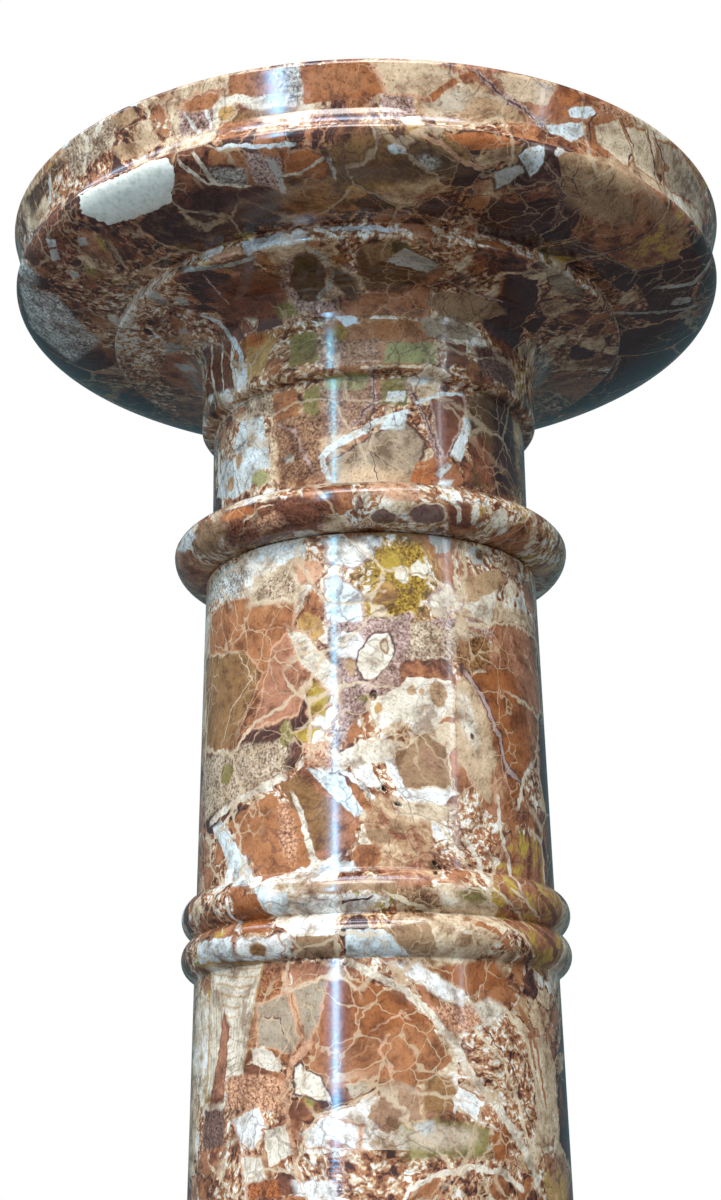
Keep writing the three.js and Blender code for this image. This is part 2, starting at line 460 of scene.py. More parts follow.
# Lays a clast or vein over a colour: Reach is 1 at its edge, and Edge is how soft the edge is on that scale
def makeLay(rimWidth=4.0):
    tree, given, result = nodeGroup(
        "layClast", [(name, "Color", None) for name in ("Colour", "Clast", "Rim")]
        + [("Reach", "Float", 0.0), ("Edge", "Float", 0.05)], [("Colour", "Color")])
    soft = given["Edge"]
    rim = smooth(tree, given["Reach"], maths(tree, "MULTIPLY_ADD", soft, rimWidth, 1.0), maths(tree, "ADD", soft, 1.0))
    rimmed = blend(tree, rim, given["Colour"], given["Rim"])
    inside = smooth(tree, given["Reach"], maths(tree, "ADD", soft, 1.0), maths(tree, "SUBTRACT", 1.0, soft))
    feed(tree, result["Colour"], blend(tree, inside, rimmed, given["Clast"]))
    return tree


layGroup = makeLay()


# How far a place is out from a clast's middle, as a share of the way to its nearest straight side
def makeFacets(count):
    sides = [f"Side {number}" for number in range(count)]
    tree, given, result = nodeGroup(
        f"clastOf{count}", [(name, "Vector", None) for name in ["Vector", "Middle"] + sides], [("Reach", "Float")])
    away = vectors(tree, "SUBTRACT", given["Vector"], given["Middle"])
    reach = vectors(tree, "DOT_PRODUCT", away, given[sides[0]])
    for side in sides[1:]:
        reach = maths(tree, "MAXIMUM", reach, vectors(tree, "DOT_PRODUCT", away, given[side]))
    feed(tree, result["Reach"], reach)
    return tree


facetGroups = {count: makeFacets(count) for count in (4, 5, 6)}


# A fine speckle from purple brown to cream, as the ground between the clasts has, laid over a tint
def makeSpeckle():
    tree, given, result = nodeGroup("speckle", [("Grain", "Float", 0.5)], [("Spots", "Color")])
    feed(tree, result["Spots"], ramp(tree, given["Grain"], (0.36, (0.36, 0.26, 0.23)), (0.45, (0.66, 0.55, 0.49)),
                                     (0.53, (0.92, 0.88, 0.84)), (0.63, opaque(1.2))))
    return tree


speckleGroup = makeSpeckle()


# How many contour lines a broken stone has, where veining comes and goes, and how rough the polish is
skin = {"lines": 9.0, "veinedFrom": 0.46, "veinedTo": 0.58, "roughness": (0.13, 0.22)}


# What runs over every clast: mottling, thin pale and dark veins, contour lines and specks
def makeSkin(s=skin):
    amounts = ("Fine edges", "Broad edges", "Pale veins", "Dark veins", "Banding", "Specks", "Grain", "Mottle")
    tree, given, result = nodeGroup(
        "stoneSkin", [("Colour", "Color", None), ("Vector", "Vector", None)]
        + [(name, "Float", 0.5) for name in amounts], [("Colour", "Color"), ("Roughness", "Float")])
    mottle = given["Mottle"]
    clouded = ramp(tree, mottle, (0.36, (0.48, 0.40, 0.35)), (0.5, opaque(1.0)), (0.64, (1.28, 1.34, 1.4)))
    colour = blend(tree, 1.0, given["Colour"], clouded, "MULTIPLY")
    where = parts(tree, clouds(tree, given["Vector"], fineness["veining"], 0.0)[1])
    lines = maths(tree, "FRACT", maths(tree, "MULTIPLY", given["Broad edges"], s["lines"]))
    laid = ((given["Broad edges"], 0.045, 0.012, where[0], "Pale veins", "cream"),
            (lines, 0.16, 0.04, where[1], "Banding", "peach"),
            (given["Fine edges"], 0.05, 0.01, maths(tree, "SUBTRACT", 1.0, where[2]), "Pale veins", "sand"),
            (given["Fine edges"], 0.06, 0.015, where[2], "Dark veins", "vein"))
    for value, wide, narrow, mask, amount, tint in laid:
        ridge = smooth(tree, value, wide, narrow)
        veined = smooth(tree, mask, s["veinedFrom"], s["veinedTo"])
        shown = maths(tree, "MULTIPLY", maths(tree, "MULTIPLY", ridge, veined), given[amount])
        colour = blend(tree, shown, colour, tints[tint])
    specks = ramp(tree, given["Grain"], (0.33, (0.42, 0.34, 0.32)), (0.43, opaque(1.0)), (0.6, opaque(1.0)),
                  (0.7, (1.3, 1.27, 1.25)))
    feed(tree, result["Colour"], blend(tree, given["Specks"], colour, specks, "MULTIPLY"))
    feed(tree, result["Roughness"], smooth(tree, mottle, 0.3, 0.75, *s["roughness"]))
    return tree


skinGroup = makeSkin()
print("stone groups built")


# Soft zones kept on the vertices, as bands of a stone's height in millimetres and as patches seen in the photo:
# each is lighter or darker, yellower, or has more rubble between the clasts. Fade is how a patch ends.
def markZones(piece, bands=(), patches=(), fade=(1.35, 0.6)):
    count = len(piece.data.vertices)
    flat = np.empty(count * 3, dtype=np.float32)
    piece.data.vertices.foreach_get("co", flat)
    place = flat.reshape(-1, 3)
    zone = np.zeros((count, 4), dtype=np.float32)
    height = place[:, 2] / mm
    shares = []
    for one in bands:
        over, under = height - one["foot"], one["head"] - height
        shares.append((one, np.clip(over / 2 + 0.5, 0, 1) * np.clip(under / 2 + 0.5, 0, 1)))
    for one in patches:
        middle, turned, sizes = ellipseSeen(piece, one)
        axes = np.array(turned.to_matrix())
        reach = np.linalg.norm((place - np.array(middle)) @ axes / np.array(sizes), axis=1)
        shares.append((one, np.clip((fade[0] - reach) / fade[1], 0, 1)))
    for one, inside in shares:
        for channel, name in enumerate(("light", "ochre", "rubble")):
            zone[:, channel] += one.get(name, 0.0) * inside
    marks = piece.data.attributes.new("zone", "FLOAT_COLOR", "POINT")
    marks.data.foreach_set("color", zone.ravel())


clastDepth = 40 * mm
narrowest = {"side": 0.2 * mm, "clast": 0.3 * mm}


# A clast with straight sides between the corners that the photo shows, on planes that go into the stone
def cornerReach(tree, piece, where, corners):
    spots = [spotSeen(piece, x, y) for x, y in corners]
    middle = sum((spot[0] for spot in spots), Vector()) / len(spots)
    normal = sum((spot[1] for spot in spots), Vector()).normalized()
    sides = []
    inner = 1.0
    for one, other in zip(spots, spots[1:] + spots[:1]):
        out = (other[0] - one[0]).cross(normal).normalized()
        distance = out.dot(one[0] - middle)
        if distance < 0:
            out, distance = -out, -distance
        sides.append(out / max(distance, narrowest["side"]))
        inner = min(inner, distance)
    sides.append(-normal / clastDepth)
    given = {f"Side {number}": side for number, side in enumerate(sides)}
    reach = use(tree, facetGroups[len(sides)], Vector=where, Middle=middle, **given)["Reach"]
    return reach, max(inner, narrowest["clast"])


# An ellipse's reach; a blunt one has fuller ends
def ellipseReach(tree, where, place, turned, sizes, blunt=False):
    mapping = put(tree, "ShaderNodeMapping", vector_type="TEXTURE")
    feedAll(tree, mapping, Vector=where, Location=place, Rotation=turned, Scale=sizes)
    inside = mapping.outputs[0]
    return vectors(tree, "LENGTH", vectors(tree, "MULTIPLY", inside, inside) if blunt else inside)


# A vein along the pixels of its path: thin straight stretches, each a little longer than its half to meet the next
def pathReach(tree, piece, where, path, width, half=0.56):
    spots = [spotSeen(piece, x, y) for x, y in path]
    reach = None
    for (start, startNormal, pixel), (end, endNormal, _) in zip(spots, spots[1:]):
        normal = (startNormal + endNormal).normalized()
        along = (end - start).normalized()
        across = normal.cross(along).normalized()
        turned = Matrix((along, across, along.cross(across))).transposed().to_euler()
        thin = width / 2 * pixel
        sizes = ((end - start).length * half + thin, thin, max(thin, leastDepth))
        one = ellipseReach(tree, where, (start + end) / 2, turned, sizes, blunt=True)
        reach = one if reach is None else maths(tree, "MINIMUM", reach, one)
    return reach, spots[0][2] * width / 4


# Degrees around the stone, 0 at the camera's side and growing to the right
def azimuthOf(point):
    return degrees(atan2(point[0], -point[1]))


# Whether a placed clast or vein comes into a bay, which is a stretch of a stone's height and of its azimuths
def comesInto(bay, piece, one, margin=4 * mm):
    if "x" in one:
        place, turned, sizes = ellipseSeen(piece, one)
        axes = turned.to_matrix().transposed()
        points = [place + axes[i] * sizes[i] * side for i in (0, 1) for side in (-1, 1)]
    else:
        points = [spotSeen(piece, x, y)[0] for x, y in one.get("corners", one.get("path"))]
    around = [azimuthOf(point) for point in points]
    spare = degrees(margin / hypot(points[0].x, points[0].y))
    heights = [point.z for point in points]
    return (max(around) + spare > bay["start"] and min(around) - spare < bay["end"]
            and max(heights) + margin > bay["foot"] * mm and min(heights) - margin < bay["head"] * mm)


# Short ways to list what the photo shows, by pixels: a clast by its corners, a rounded one by its middle and half
# sizes, and a vein by its width and path. Soft is in millimetres.
def clast(tint, *corners, **rest):
    return {"tint": tint, "corners": list(zip(corners[::2], corners[1::2])), **rest}


def blob(tint, x, y, wide, tall, **rest):
    return {"tint": tint, "x": x, "y": y, "wide": wide, "tall": tall, **rest}


def vein(tint, width, *path, **rest):
    return {"tint": tint, "width": width, "path": list(zip(path[::2], path[1::2])), **rest}


# How far a place is out from the middle of a clast or vein, where 1 is its edge, and its smallest half size
def reachOf(tree, piece, where, one):
    if "corners" in one:
        return cornerReach(tree, piece, where, one["corners"])
    if "path" in one:
        return pathReach(tree, piece, where, one["path"], one["width"])
    place, turned, sizes = ellipseSeen(piece, one)
    return ellipseReach(tree, where, place, turned, sizes), min(sizes)


# Lines inside a clast that repeat its outline, like the rings of an agate
def layRings(tree, piece, where, one, reach, colour, faint=0.2, full=0.05, strength=0.6):
    rings = maths(tree, "FRACT", maths(tree, "MULTIPLY", reachOf(tree, piece, where, one)[0], one["nested"]))
    line = smooth(tree, maths(tree, "ABSOLUTE", maths(tree, "SUBTRACT", rings, 0.5)), faint, full)
    line = maths(tree, "MULTIPLY", line, maths(tree, "LESS_THAN", reach, 1.0))
    return blend(tree, maths(tree, "MULTIPLY", line, strength), colour, tints["honey"])


# How soft the edges are in millimetres, and at most as a share of the clast
softness = {"speckled": 0.9, "plain": 0.3, "most": 0.4}
polish = {"Coat Weight": 0.2, "Coat Roughness": 0.07}
# Faint marks of turning, long around the stone and close together up it
turning = {"stretch": (0.03, 0.03, 1.0), "strength": 0.1, "depth": 0.3 * mm}


# A polished marble for a whole stone, or for one bay of it with the clasts and veins that show there
def marble(piece, look, placed=(), bay=None):
    placed = [one for one in placed if comesInto(bay, piece, one)]
    name = "polished_" + piece.name.replace("stone", bay["name"] if bay else "whole")
    material, tree, shader = newMaterial(name)
    here = put(tree, "ShaderNodeTexCoord").outputs["Object"]
    moved = vectors(tree, "ADD", here, look["start"])
    warped = use(tree, warpGroup, Vector=here, Start=look["start"], Ragged=look["ragged"])
    zone = parts(tree, put(tree, "ShaderNodeAttribute", attribute_name="zone").outputs["Color"])
    ground = use(tree, brecciaGroup, Broken=warped["Broken"], Lightness=maths(tree, "ADD", zone[0], look["light"]),
                 Ochre=zone[1], Rubble=zone[2])
    colour = ground["Colour"]
    grain = clouds(tree, moved, fineness["grain"], 2.0, 0.72)[0]
    spots = use(tree, speckleGroup, Grain=grain)["Spots"] if any("speckled" in one for one in placed) else None
    for one in placed:
        speckled = "speckled" in one
        tint = blend(tree, 1.0, tints[one["tint"]], spots, "MULTIPLY") if speckled else tints[one["tint"]]
        reach, size = reachOf(tree, piece, warped["Crisp"], one)
        soft = min(softness["most"], one.get("soft", softness["speckled" if speckled else "plain"]) * mm / size)
        if "rim" in one:
            rim = tints[one["rim"]]
            colour = use(tree, layGroup, Colour=colour, Reach=reach, Edge=soft, Clast=tint, Rim=rim)["Colour"]
        else:
            colour = blend(tree, smooth(tree, reach, 1 + soft, 1 - soft), colour, tint)
        if "nested" in one:
            calm = vectors(tree, "SCALE", vectors(tree, "ADD", here, warped["Broken"]), scale=0.5)
            colour = layRings(tree, piece, calm, one, reach, colour)
    dressed = use(tree, skinGroup, Colour=colour, Vector=moved, Fine_edges=ground["Fine edges"],
                  Broad_edges=ground["Broad edges"], Pale_veins=look["pale"], Dark_veins=look["dark"],
                  Banding=look["banding"], Specks=look["specks"], Grain=grain, Mottle=ground["Mottle"])
    feed(tree, shader["Base Color"], dressed["Colour"])
    feed(tree, shader["Roughness"], dressed["Roughness"])
    for name, value in polish.items():
        shader[name].default_value = value
    stretched = feedAll(tree, put(tree, "ShaderNodeMapping"), Vector=here, Scale=turning["stretch"])[0]
    marks = clouds(tree, stretched, fineness["tooling"], 0.0)[0]
    bump = feedAll(tree, put(tree, "ShaderNodeBump"), Strength=turning["strength"], Distance=turning["depth"],
                   Height=marks)
    feed(tree, shader["Normal"], bump[0])
    piece.data.materials.append(material)
    for face in piece.data.polygons if bay else []:
        if bay["foot"] * mm < face.center.z < bay["head"] * mm and bay["start"] < azimuthOf(face.center) < bay["end"]:
            face.material_index = len(piece.data.materials) - 1
    print(material.name, "has", len(placed), "placed clasts and veins")


# Pits in the stones, by their middles and half sizes in the photo, with painted shade: the dark maroon laid inside
# them stands in for the shade in the hollows
shaftPitsWithPaintedShade = [
    blob("maroon", 373.5, 696, 3.6, 4.4), blob("maroon", 384, 788.5, 2.2, 2.4),
    blob("maroon", 398.5, 804, 3.8, 1.4, turn=-20), blob("maroon", 435, 863, 2.0, 1.6),
    blob("maroon", 440, 868, 1.6, 2.4), blob("maroon", 437, 873, 2.0, 1.4),
]
capPitsWithPaintedShade = [
    blob("maroon", 148.5, 322.7, 4.4, 2.4), blob("maroon", 146, 332, 5.0, 3.2),
    blob("maroon", 172.5, 314.7, 2.8, 2.0), blob("maroon", 318, 318.3, 6.0, 1.5),
]


# Cuts a stone's faces finer where it has pits, and sinks them. The brim is a pit's outer edge on the scale of its
# half sizes, and near is how far around a pit the faces are cut and moved.
def sinkPits(piece, pits, depth=2.2 * mm, cuts=6, brim=1.3, slope=0.8, near=3 * mm):
    bm = bmesh.new()
    bm.from_mesh(piece.data)
    places = [ellipseSeen(piece, pit) for pit in pits]
    around = set()
    for face in bm.faces:
        middle = face.calc_center_median()
        if any((middle - place).length < max(sizes[:2]) + near for place, _, sizes in places):
            around.update(face.edges)
    cut = bmesh.ops.subdivide_edges(bm, edges=list(around), cuts=cuts, use_grid_fill=True)
    for vert in {item for item in cut["geom"] if isinstance(item, bmesh.types.BMVert)}:
        for place, turned, sizes in places:
            first, second, normal = turned.to_matrix().transposed()
            away = vert.co - place
            reach = hypot(away.dot(first) / sizes[0], away.dot(second) / sizes[1])
            if reach < brim and abs(away.dot(normal)) < near:
                share = min(1.0, (brim - reach) / slope)
                vert.co -= normal * (depth * share * share * (3 - 2 * share))
                break
    bm.to_mesh(piece.data)
    bm.free()
    for face in piece.data.polygons:
        face.use_smooth = True
    print(piece.name, "has", sum(len(face.vertices) - 2 for face in piece.data.polygons), "triangles with its pits")


sinkPits(shaft, shaftPitsWithPaintedShade)
sinkPits(capital, capPitsWithPaintedShade)

# Repair: a thin pad of putty on the quarter round, with its ragged outline as the photo shows it
repair = {
    "middle": (127, 193), "raised": 0.6 * mm, "sunk": 0.5 * mm, "back": 2.0 * mm, "around": 120, "rings": 12,
    "ragged": 0.06, "spread": 1.07, "frays": (8, 21), "waves": 0.2 * mm, "waveScale": 200.0, "shoulder": 8,
    "roughness": 0.6, "grainStrength": 0.6, "grainDepth": 0.4 * mm,
    "outline": [(77, 201), (81, 191), (93, 186), (113, 178.5), (132, 170), (151, 160), (169, 157.5), (175, 168),
                (174, 187), (173, 200), (160, 208), (151, 213), (132, 219), (118, 223), (111, 226), (101, 223),
                (90, 217), (81, 214)],
}


# How far the outline is from the middle, in a direction
def outlineReach(middle, outline, direction):
    for (x0, y0), (x1, y1) in zip(outline, outline[1:] + outline[:1]):
        sideX, sideY = x1 - x0, y1 - y0
        cross = direction[0] * sideY - direction[1] * sideX
        if abs(cross) > 1e-9:
            fromX, fromY = x0 - middle[0], y0 - middle[1]
            reach = (fromX * sideY - fromY * sideX) / cross
            share = (fromX * direction[1] - fromY * direction[0]) / cross
            if reach > 0 and 0 <= share <= 1:
                return reach
    raise ValueError("the middle lies outside the outline")


def makeRepair(piece, r):
    bm = bmesh.new()
    rows = []
    foot = []
    for step in range(r["around"]):
        angle = 2 * pi * step / r["around"]
        direction = (cos(angle), sin(angle))
        fray = sum(noise.noise(Vector((rate * cos(angle), rate * sin(angle), 0.5))) for rate in r["frays"])
        reach = outlineReach(r["middle"], r["outline"], direction) * (r["spread"] + r["ragged"] * fray)
        row = []
        for ring in range(1, r["rings"] + 1):
            share = ring / r["rings"]
            x, y = (r["middle"][i] + direction[i] * reach * share for i in (0, 1))
            point, normal, _ = spotSeen(piece, x, y)
            wave = r["waves"] * noise.noise(point * r["waveScale"])
            edge = share ** r["shoulder"]
            lift = (r["raised"] + wave) * (1 - edge) - r["sunk"] * edge
            row.append(bm.verts.new(point + normal * lift))
        rows.append(row)
        foot.append(bm.verts.new(point - normal * r["back"]))
    point, normal, _ = spotSeen(piece, *r["middle"])
    top = bm.verts.new(point + normal * r["raised"])
    back = bm.verts.new(point - normal * r["back"])
    for row, following, under, nextUnder in zip(rows, rows[1:] + rows[:1], foot, foot[1:] + foot[:1]):
        bm.faces.new((top, row[0], following[0]))
        for ring in range(r["rings"] - 1):
            bm.faces.new((row[ring], row[ring + 1], following[ring + 1], following[ring]))
        bm.faces.new((row[-1], under, nextUnder, following[-1]))
        bm.faces.new((under, back, nextUnder))
    bmesh.ops.recalc_face_normals(bm, faces=bm.faces)
    return bm


putty = finishPiece("repair_putty", makeRepair(capital, repair))
puttyMaterial, puttyTree, puttyShader = newMaterial("putty")
puttyPlace = put(puttyTree, "ShaderNodeTexCoord").outputs["Object"]
puttyGrain = clouds(puttyTree, puttyPlace, fineness["putty"], 4.0, 0.7)[0]
feed(puttyTree, puttyShader["Base Color"],
     ramp(puttyTree, puttyGrain, (0.3, (0.60, 0.62, 0.52)), (0.5, (0.85, 0.87, 0.75)), (0.7, (0.96, 0.96, 0.87))))
puttyShader["Roughness"].default_value = repair["roughness"]
puttyBump = feedAll(puttyTree, put(puttyTree, "ShaderNodeBump"), Strength=repair["grainStrength"],
                    Distance=repair["grainDepth"], Height=puttyGrain)
feed(puttyTree, puttyShader["Normal"], puttyBump[0])
putty.data.materials.append(puttyMaterial)
print("pits sunk and repair laid")

# The clasts and veins of the two upper stones, the lowest laid first
upperClasts = [  # shaft above the ring
    clast("oat", 203, 760, 292, 740, 286, 776, 250, 797, 205, 818, speckled=True),
    clast("mauve", 330, 622, 400, 615, 398, 690, 345, 730, 332, 700, speckled=True),
    clast("oat", 400, 625, 450, 615, 492, 640, 485, 655, 402, 660, speckled=True),
    clast("rust", 210, 620, 236, 600, 295, 596, 290, 650, 210, 738, rim="peach"),
    clast("brass", 206, 662, 244, 650, 262, 672, 238, 738, 206, 748, rim="peach"),
    clast("rose", 273, 650, 294, 628, 311, 676, 297, 713, 255, 728, rim="peach"),
    clast("brass", 206, 700, 232, 722, 240, 744, 206, 752),
    clast("ice", 207, 606, 214, 577, 238, 561, 253, 570, 238, 598, speckled=True),
    clast("ice", 251, 560, 262, 550, 300, 543, 306, 556, 280, 563),
    clast("oat", 262, 580, 284, 570, 297, 588, 290, 598, 256, 599, speckled=True, rim="cream"),
    clast("peach", 294, 566, 312, 560, 322, 570, 314, 587, 297, 583),
    clast("white", 325, 541, 372, 536, 378, 550, 352, 567, 326, 562, rim="mauve"),
    clast("ice", 325, 580, 337, 577, 360, 592, 363, 622, 330, 618, rim="mauve"),
    clast("ice", 367, 540, 382, 538, 382, 551, 370, 555),
    clast("honey", 297, 620, 308, 610, 323, 614, 328, 632, 316, 641),
    clast("mustard", 374, 548, 420, 545, 428, 575, 410, 622, 366, 618, speckled=True),
    blob("mustard", 393, 562, 12, 10, soft=1.0), blob("honey", 384, 594, 13, 11, soft=1.0),
    blob("ivory", 401, 575, 7, 9, rim="mustard"), blob("cream", 378, 612, 8, 7),
    clast("dove", 428, 538, 452, 538, 450, 553, 436, 555),
    clast("ivory", 409, 568, 416, 561, 427, 564, 423, 578, 411, 577),
    clast("ivory", 427, 606, 431, 595, 446, 582, 460, 599, 458, 608, rim="mauve"),
    clast("oat", 427, 606, 446, 605, 442, 615, 429, 613),
    clast("fawn", 463, 585, 470, 574, 502, 570, 505, 590, 468, 600),
    clast("ivory", 461, 602, 499, 591, 490, 622, 473, 615), clast("dove", 468, 545, 482, 548, 486, 566, 472, 562),
    blob("umber", 481, 554, 4, 5, soft=0.8), blob("white", 350, 645, 14, 16, rim="mauve", soft=0.5),
    blob("ivory", 374, 658, 15, 26, turn=-25, rim="vein"), blob("oat", 383, 647, 3, 5, rim="brass"),
    blob("fawn", 350, 668, 5, 10), blob("olive", 360, 697, 10, 7, soft=0.8),
    clast("olive", 281, 726, 290, 719, 297, 735, 284, 747), blob("mustard", 310, 733, 13, 8, soft=0.8),
    clast("mustard", 306, 690, 318, 682, 328, 700, 325, 719, 311, 712, soft=0.6), blob("white", 319, 737, 5, 6),
    blob("olive", 229, 772, 6, 10, turn=-30, soft=0.6),
    clast("peach", 303, 742, 330, 742, 336, 768, 306, 768, speckled=True),
    clast("ivory", 289, 627, 308, 632, 334, 668, 338, 702, 301, 663, rim="peach"),
    clast("brass", 456, 632, 487, 636, 490, 664, 468, 670, 454, 655, speckled=True),
    clast("amber", 467, 672, 511, 668, 529, 730, 507, 770, 478, 697),
    clast("amber", 504, 752, 530, 728, 527, 770, 519, 805, 508, 796),
    clast("ivory", 398, 690, 404, 678, 450, 679, 453, 712, 425, 742),
    clast("ivory", 364, 706, 398, 690, 430, 700, 430, 722, 378, 724),
    clast("cream", 430, 742, 452, 700, 470, 712, 460, 745, 446, 748), blob("fawn", 437, 694, 9, 14),
    blob("fawn", 410, 691, 4, 6), blob("fawn", 420, 693, 3, 5), blob("honey", 378, 711, 3, 6),
    clast("rust", 342, 742, 357, 721, 363, 734, 351, 745), clast("rust", 437, 724, 446, 717, 459, 716, 455, 722),
    clast("ivory", 340, 754, 372, 737, 403, 742, 392, 761, 350, 767),
    clast("sand", 455, 681, 463, 677, 481, 706, 497, 757, 458, 760, rim="fawn"),
    clast("sand", 456, 745, 497, 750, 495, 790, 489, 801, 470, 783),
    blob("ivory", 468, 720, 7, 30, turn=10, soft=2.0), blob("umber", 471, 735, 2, 3, soft=0.6),
    blob("peach", 493, 787, 4, 14, turn=-8),
    clast("clay", 398, 752, 428, 735, 447, 745, 450, 781, 402, 788, rim="cream"),
    blob("taupe", 432, 757, 10, 14, soft=2.0), clast("white", 386, 757, 398, 758, 407, 793, 400, 797),
    clast("white", 402, 790, 450, 783, 457, 789, 432, 810, 405, 799),
    clast("brass", 282, 784, 300, 772, 328, 805, 330, 852, 300, 850),
    clast("rust", 228, 824, 268, 796, 298, 815, 312, 862, 262, 882),
    blob("peach", 286, 834, 9, 28, speckled=True, turn=20, soft=1.5),
    clast("ice", 213, 826, 223, 820, 250, 867, 249, 886, 231, 888),
    clast("ice", 306, 768, 342, 778, 363, 816, 354, 821, 330, 797),
    clast("rust", 347, 787, 356, 783, 373, 812, 362, 814), blob("clay", 378, 839, 12, 7, turn=-10),
    blob("fawn", 400, 828, 11, 8, turn=-25), blob("rust", 364, 860, 17, 12),
    clast("ice", 313, 866, 350, 862, 357, 872, 316, 876),
    clast("cream", 395, 800, 452, 802, 440, 825, 400, 815, soft=1.5),
    clast("clay", 452, 830, 462, 838, 458, 850, 448, 842), blob("umber", 435, 868, 5, 6, soft=1.0),
    vein("white", 5, 342, 773, 352, 779, 366, 790, 372, 800),
    vein("ivory", 8, 212, 819, 232, 805, 251, 795, 280, 779),
    vein("ivory", 6, 293, 798, 303, 826, 308, 850, 314, 868),
    vein("mauve", 9, 338, 626, 356, 628, 385, 624, 406, 617, speckled=True),
    vein("mauve", 11, 403, 622, 400, 650, 391, 672, 376, 690, 352, 698, speckled=True),
    vein("mauve", 10, 346, 700, 350, 720, 340, 740, speckled=True),
    vein("mauve", 9, 436, 620, 468, 618, 490, 632, speckled=True),
    vein("mauve", 5, 464, 671, 480, 693, 489, 715, 499, 737, 503, 757, 508, 772, 519, 782, rim="vein"),
    vein("peach", 1.4, 296, 625, 273, 650, 264, 686, 244, 720, 238, 745),
    vein("cream", 1.0, 207, 661, 238, 652, 252, 680, 232, 710, 224, 742),
    vein("peach", 1.0, 226, 614, 238, 628, 262, 630, 292, 624),
    vein("mauve", 2, 300, 727, 320, 728, 336, 734, 345, 742),
    vein("ivory", 5, 497, 800, 500, 830, 508, 858, 520, 885), vein("ivory", 6, 468, 838, 480, 862, 488, 882),
    vein("cream", 4, 428, 802, 446, 832, 468, 866, 478, 884), vein("rust", 5, 507, 806, 514, 835, 512, 862),
    vein("russet", 5, 524, 815, 530, 850, 534, 884), vein("ivory", 5, 518, 806, 524, 780, 531, 765),
    vein("peach", 3, 380, 875, 410, 872, 440, 880, 470, 890),
] + shaftPitsWithPaintedShade

ringClasts = [  # upper bead
    clast("amber", 234, 896, 258, 892, 266, 930, 243, 934, 236, 915), clast("ice", 257, 888, 270, 886, 264, 909),
    clast("ice", 273, 896, 286, 892, 289, 914, 273, 916),
    clast("clay", 298, 883, 400, 881, 398, 893, 300, 895, soft=0.8),
    clast("white", 290, 900, 384, 897, 360, 915, 300, 918, soft=1.0), vein("vein", 2.5, 338, 903, 352, 901, 370, 898),
    clast("clay", 400, 888, 440, 890, 450, 915, 405, 918, speckled=True, soft=1.5),
    blob("olive", 474, 897, 13, 8, soft=1.5), vein("cream", 1.6, 222, 891, 214, 912, 221, 934),
    vein("cream", 1.6, 211, 895, 202, 914, 208, 934), vein("white", 4, 227, 903, 233, 918, 238, 932),
    vein("cream", 4, 386, 893, 412, 904, 440, 914, 470, 918), vein("cream", 3, 492, 888, 508, 902, 520, 920),
    vein("cream", 3, 515, 890, 530, 904, 540, 920), vein("russet", 7, 540, 893, 552, 905, 556, 922),
    # lower bead
    clast("ice", 200, 945, 232, 937, 238, 962, 202, 966),
    clast("white", 237, 938, 288, 932, 290, 958, 238, 962, soft=0.6), blob("brass", 256, 950, 8, 8, soft=0.8),
    clast("clay", 293, 936, 336, 934, 338, 956, 294, 959), clast("ice", 345, 930, 385, 928, 414, 955, 345, 958),
    clast("clay", 380, 924, 428, 921, 440, 948, 412, 954), vein("peach", 2, 275, 934, 281, 948, 280, 962),
    vein("cream", 5, 452, 925, 474, 936, 490, 954), vein("rust", 6, 470, 922, 496, 934, 508, 952),
    vein("cream", 3, 505, 925, 524, 938, 534, 955), vein("russet", 8, 532, 925, 548, 935, 556, 950),
    vein("umber", 5, 188, 950, 192, 962),
]

